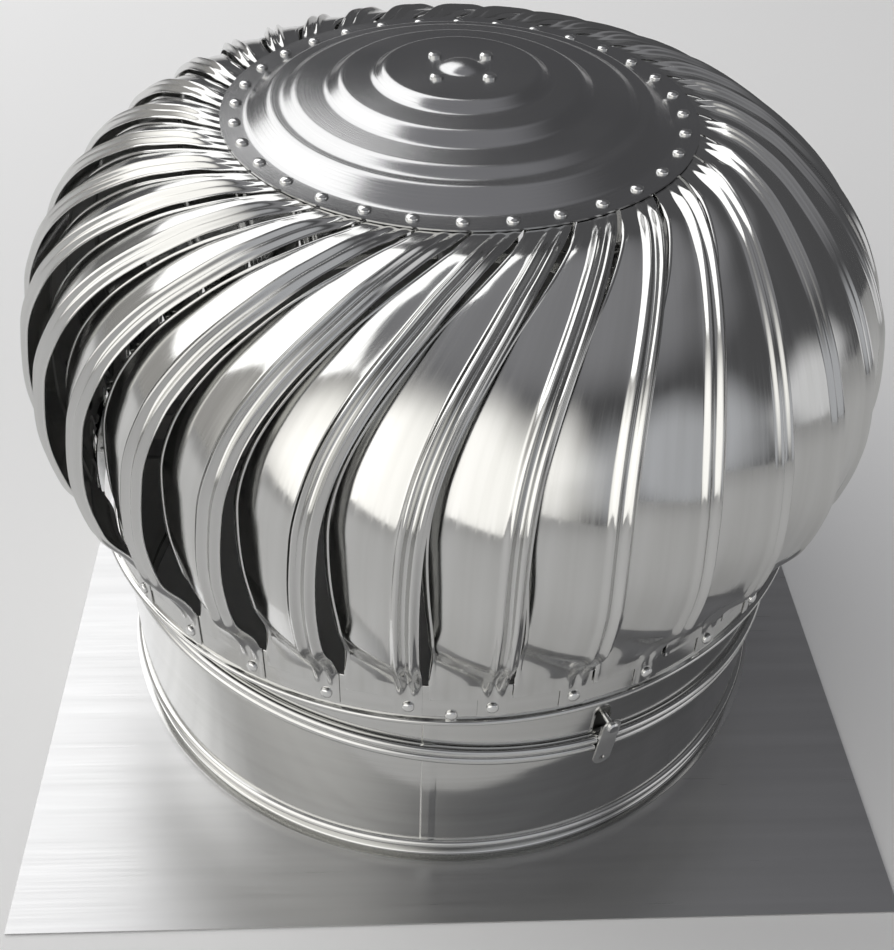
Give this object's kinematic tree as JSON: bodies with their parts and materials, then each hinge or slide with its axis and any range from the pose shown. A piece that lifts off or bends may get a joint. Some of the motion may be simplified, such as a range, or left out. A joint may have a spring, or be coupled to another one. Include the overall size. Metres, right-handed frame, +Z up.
{
  "type": "turbine roof ventilator",
  "caption": "Wind-driven roof vent: a domed turbine of curved ribbed vanes on a swivelling round throat over a square flashing sheet.",
  "frame": {"origin": "centre of the flashing sheet's underside", "axes": "+Z up along the throat at rest, X and Y along the sheet's edges, -Y towards the viewer of the picture"},
  "size_m": [0.6, 0.6, 0.4676],
  "materials": {
    "polished_steel": "mirror-polished stainless sheet",
    "satin_steel": "satin brushed stainless sheet",
    "fastener_steel": "bright turned steel",
    "bracket_steel": "plain mill-finish steel",
    "bearing_steel": "ground bearing steel"
  },
  "bodies": {
    "base": {"base_plate": "satin_steel", "base_drum": "polished_steel"},
    "neck": {"neck_collar": "polished_steel", "lock_tab_1": "fastener_steel", "lock_tab_2": "fastener_steel", "lock_tab_3": "fastener_steel", "tab_screws": "fastener_steel", "neck_spider": "bracket_steel", "arm_rivets": "fastener_steel", "spindle": "bracket_steel", "spindle_foot_washer": "fastener_steel", "spindle_foot_nut": "fastener_steel", "spindle_tip_washer": "fastener_steel", "spindle_tip_nut": "fastener_steel", "spacer_sleeve": "bracket_steel", "lower_bearing_inner": "bearing_steel", "upper_bearing_inner": "bearing_steel"},
    "turbine": {"top_cap": "satin_steel", "vane_01": "polished_steel", "vane_02": "polished_steel", "vane_03": "polished_steel", "vane_04": "polished_steel", "vane_05": "polished_steel", "vane_06": "polished_steel", "vane_07": "polished_steel", "vane_08": "polished_steel", "vane_09": "polished_steel", "vane_10": "polished_steel", "vane_11": "polished_steel", "vane_12": "polished_steel", "vane_13": "polished_steel", "vane_14": "polished_steel", "vane_15": "polished_steel", "vane_16": "polished_steel", "vane_17": "polished_steel", "vane_18": "polished_steel", "vane_19": "polished_steel", "vane_20": "polished_steel", "vane_21": "polished_steel", "vane_22": "polished_steel", "vane_23": "polished_steel", "vane_24": "polished_steel", "vane_25": "polished_steel", "vane_26": "polished_steel", "vane_27": "polished_steel", "vane_28": "polished_steel", "vane_29": "polished_steel", "vane_30": "polished_steel", "vane_31": "polished_steel", "vane_32": "polished_steel", "bottom_ring": "polished_steel", "rotor_spider": "bracket_steel", "spoke_rivets": "fastener_steel", "bearing_housing": "bracket_steel", "lower_bearing_outer": "bearing_steel", "upper_bearing_outer": "bearing_steel", "cap_screws": "fastener_steel", "cap_nuts": "fastener_steel", "rim_rivets": "fastener_steel", "foot_rivets": "fastener_steel"}
  },
  "joints": [
    {"name": "neck_swivel", "type": "hinge", "parent": "base", "child": "neck", "pos_m": [0, 0, 0.119], "axis": [0.1045, 0, 0.9945], "continuous": true},
    {"name": "turbine_spin", "type": "hinge", "parent": "neck", "child": "turbine", "pos_m": [0, 0, 0.3], "axis": [0, 0, 1], "continuous": true}
  ]
}
